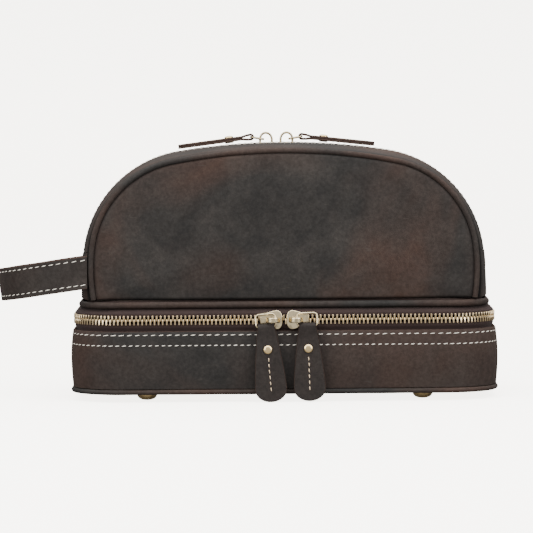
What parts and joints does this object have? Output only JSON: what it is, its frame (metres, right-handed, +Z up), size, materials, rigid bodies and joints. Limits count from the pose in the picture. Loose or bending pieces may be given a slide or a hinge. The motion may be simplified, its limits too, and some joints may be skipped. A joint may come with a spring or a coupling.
{
  "type": "shaving kit bag",
  "caption": "Leather shaving kit bag with a domed zipped main compartment over a zipped hard tray, a side hand strap, metal zips with leather pulls, and small metal feet.",
  "frame": {"origin": "centre of the flat field on the underside of the base panel", "axes": "+Z up out of the bag, -Y towards the front with the lower zip's two sliders, +X along the length away from the hand strap"},
  "size_m": [0.3198, 0.1391, 0.168],
  "materials": {
    "leather_body": "waxed pull-up leather, mottled dark brown",
    "leather_trim": "waxed leather rolled over cord or cut in strips, rubbed lighter",
    "leather_strap": "two layers of waxed leather, stitched near both edges",
    "lining_fabric": "plain woven lining, matt",
    "board": "pressed fibre board, matt",
    "zip_tape": "herringbone woven tape, matt",
    "brass_teeth": "aged brass zip teeth",
    "brass_bright": "polished pale brass",
    "brass_antique": "antique brass, darkened"
  },
  "bodies": {
    "tray": {"base_panel": "leather_body", "base_stiffener": "board", "base_piping": "leather_trim", "tray_wall": "leather_body", "tray_lining": "lining_fabric", "foot_1": "brass_antique", "foot_2": "brass_antique", "foot_3": "brass_antique", "foot_4": "brass_antique", "foot_washer_1": "brass_antique", "foot_washer_2": "brass_antique", "foot_washer_3": "brass_antique", "foot_washer_4": "brass_antique", "lower_zip_tape_tray": "zip_tape", "lower_zip_teeth_tray": "brass_teeth", "hinge_leaf_tray": "leather_trim", "lower_zip_stop_left": "brass_antique", "lower_zip_stop_right": "brass_antique"},
    "upper": {"rim_piping": "leather_trim", "lower_zip_tape_upper": "zip_tape", "lower_zip_teeth_upper": "brass_teeth", "hinge_leaf_upper": "leather_trim", "floor_panel": "board", "main_lining": "lining_fabric", "back_panel": "leather_body", "back_piping": "leather_trim", "gusset_back": "leather_body", "gusset_end_left": "leather_body", "gusset_end_right": "leather_body", "back_lining": "lining_fabric", "slip_pocket": "lining_fabric", "top_zip_tape_back": "zip_tape", "top_zip_teeth_back": "brass_teeth", "top_zip_end_left": "leather_trim", "top_zip_end_right": "leather_trim"},
    "front_flap": {"front_panel": "leather_body", "front_piping": "leather_trim", "gusset_front": "leather_body", "front_lining": "lining_fabric", "top_zip_tape_front": "zip_tape", "top_zip_teeth_front": "brass_teeth"},
    "hand_strap": {"hand_strap": "leather_strap"},
    "lower_left_slider": {"lower_left_slider": "brass_bright"},
    "lower_left_ring": {"lower_left_ring": "brass_bright"},
    "lower_left_pull": {"lower_left_pull": "leather_body", "lower_left_rivet": "brass_bright"},
    "lower_right_slider": {"lower_right_slider": "brass_bright"},
    "lower_right_ring": {"lower_right_ring": "brass_bright"},
    "lower_right_pull": {"lower_right_pull": "leather_body", "lower_right_rivet": "brass_bright"},
    "top_left_slider": {"top_left_slider": "brass_bright"},
    "top_left_ring": {"top_left_ring": "brass_bright"},
    "top_left_pull": {"top_left_pull": "leather_body", "top_left_rivet": "brass_bright"},
    "top_right_slider": {"top_right_slider": "brass_bright"},
    "top_right_ring": {"top_right_ring": "brass_bright"},
    "top_right_pull": {"top_right_pull": "leather_body", "top_right_rivet": "brass_bright"}
  },
  "joints": [
    {"name": "lid_hinge", "type": "hinge", "parent": "tray", "child": "upper", "pos_m": [0, 0.0633, 0.0483], "axis": [-1, 0, 0], "range_deg": [0, 100]},
    {"name": "mouth_front", "type": "hinge", "parent": "upper", "child": "front_flap", "pos_m": [0, -0.0585, 0.0595], "axis": [1, 0, 0], "range_deg": [0, 22]},
    {"name": "strap_lift", "type": "hinge", "parent": "upper", "child": "hand_strap", "pos_m": [-0.1242, 0, 0.0875], "axis": [0, 1, 0], "range_deg": [0, 65]},
    {"name": "lower_left_slide", "type": "slide", "parent": "tray", "child": "lower_left_slider", "axis": [-1, 0, 0], "range_m": [0, 0.085]},
    {"name": "lower_right_slide", "type": "slide", "parent": "tray", "child": "lower_right_slider", "axis": [1, 0, 0], "range_m": [0, 0.085]},
    {"name": "lower_left_ring_sway", "type": "hinge", "parent": "lower_left_slider", "child": "lower_left_ring", "pos_m": [-0.0057, -0.06805, 0.0471], "axis": [0, 1, 0], "range_deg": [-4.5, 5.5]},
    {"name": "lower_right_ring_sway", "type": "hinge", "parent": "lower_right_slider", "child": "lower_right_ring", "pos_m": [0.00805, -0.06805, 0.0471], "axis": [0, 1, 0], "range_deg": [-1.5, 4.5]},
    {"name": "lower_left_pull_lift", "type": "hinge", "parent": "lower_left_ring", "child": "lower_left_pull", "pos_m": [-0.01158, -0.06862, 0.04259], "axis": [-0.9972, 0, -0.075], "range_deg": [0, 90]},
    {"name": "lower_right_pull_lift", "type": "hinge", "parent": "lower_right_ring", "child": "lower_right_pull", "pos_m": [0.01437, -0.06862, 0.04323], "axis": [-0.9996, 0, -0.0297], "range_deg": [0, 90]},
    {"name": "top_left_slide", "type": "hinge", "parent": "front_flap", "child": "top_left_slider", "pos_m": [0, 0, -0.273], "axis": [0, -1, 0], "range_deg": [0, 6.3]},
    {"name": "top_right_slide", "type": "hinge", "parent": "front_flap", "child": "top_right_slider", "pos_m": [0, 0, -0.273], "axis": [0, 1, 0], "range_deg": [0, 7.3]},
    {"name": "top_left_ring_flip", "type": "hinge", "parent": "top_left_slider", "child": "top_left_ring", "pos_m": [-0.01243, 0, 0.15897], "axis": [0, 1, 0], "range_deg": [0, 90]},
    {"name": "top_right_ring_flip", "type": "hinge", "parent": "top_right_slider", "child": "top_right_ring", "pos_m": [0.00414, 0, 0.15913], "axis": [0, -1, 0], "range_deg": [0, 90]},
    {"name": "top_left_pull_flip", "type": "hinge", "parent": "top_left_ring", "child": "top_left_pull", "pos_m": [-0.0205, 0, 0.1604], "axis": [0, 1, 0], "range_deg": [0, 80]},
    {"name": "top_right_pull_flip", "type": "hinge", "parent": "top_right_ring", "child": "top_right_pull", "pos_m": [0.01221, 0, 0.16056], "axis": [0, -1, 0], "range_deg": [0, 80]}
  ]
}
